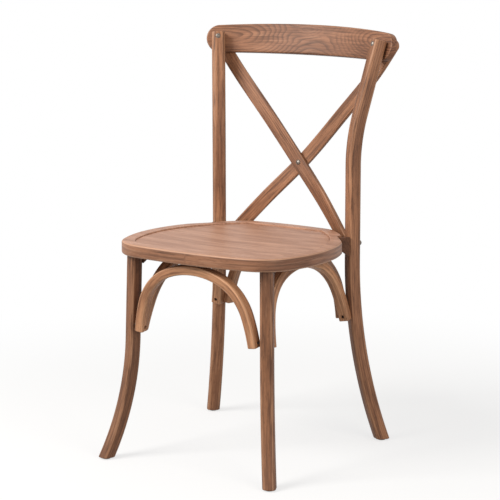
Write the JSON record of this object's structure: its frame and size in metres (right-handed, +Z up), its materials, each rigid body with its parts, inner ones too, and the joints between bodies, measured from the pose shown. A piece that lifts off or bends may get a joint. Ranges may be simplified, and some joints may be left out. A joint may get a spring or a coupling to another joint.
{
  "type": "cross back chair",
  "caption": "Wooden dining chair with a bent crest rail, crossed back strips, a dished seat and splayed legs braced by bent arches.",
  "frame": {"origin": "middle of the bounding box's lower face, on the floor", "axes": "+Z up, -Y toward the chair's front, +X to the right as seen from the front"},
  "size_m": [0.4778, 0.532, 0.8858],
  "materials": {
    "wood": "satin",
    "panel_wood": "satin",
    "bolt_metal": "satin",
    "screw_metal": "satin",
    "glide_plastic": "matte"
  },
  "bodies": {
    "root": {"front_leg_right": "wood", "front_leg_left": "wood", "rear_leg_right": "wood", "rear_leg_left": "wood", "crest_rail": "wood", "brace_front": "wood", "brace_back": "wood", "seat_ring": "wood", "seat_panel": "panel_wood", "arch_front": "wood", "arch_right": "wood", "arch_left": "wood", "arch_rear": "wood", "corner_block_front_right": "wood", "corner_block_front_left": "wood", "corner_block_rear_right": "wood", "corner_block_rear_left": "wood", "crown_packings": "wood", "front_leg_dowels": "wood", "crest_bolts": "bolt_metal", "crest_nuts": "bolt_metal", "brace_rivet": "bolt_metal", "seat_bolts": "bolt_metal", "brace_foot_screws": "screw_metal", "arch_end_screws": "screw_metal", "arch_crown_screws": "screw_metal", "glide_nails": "screw_metal", "foot_glides": "glide_plastic"}
  },
  "joints": []
}
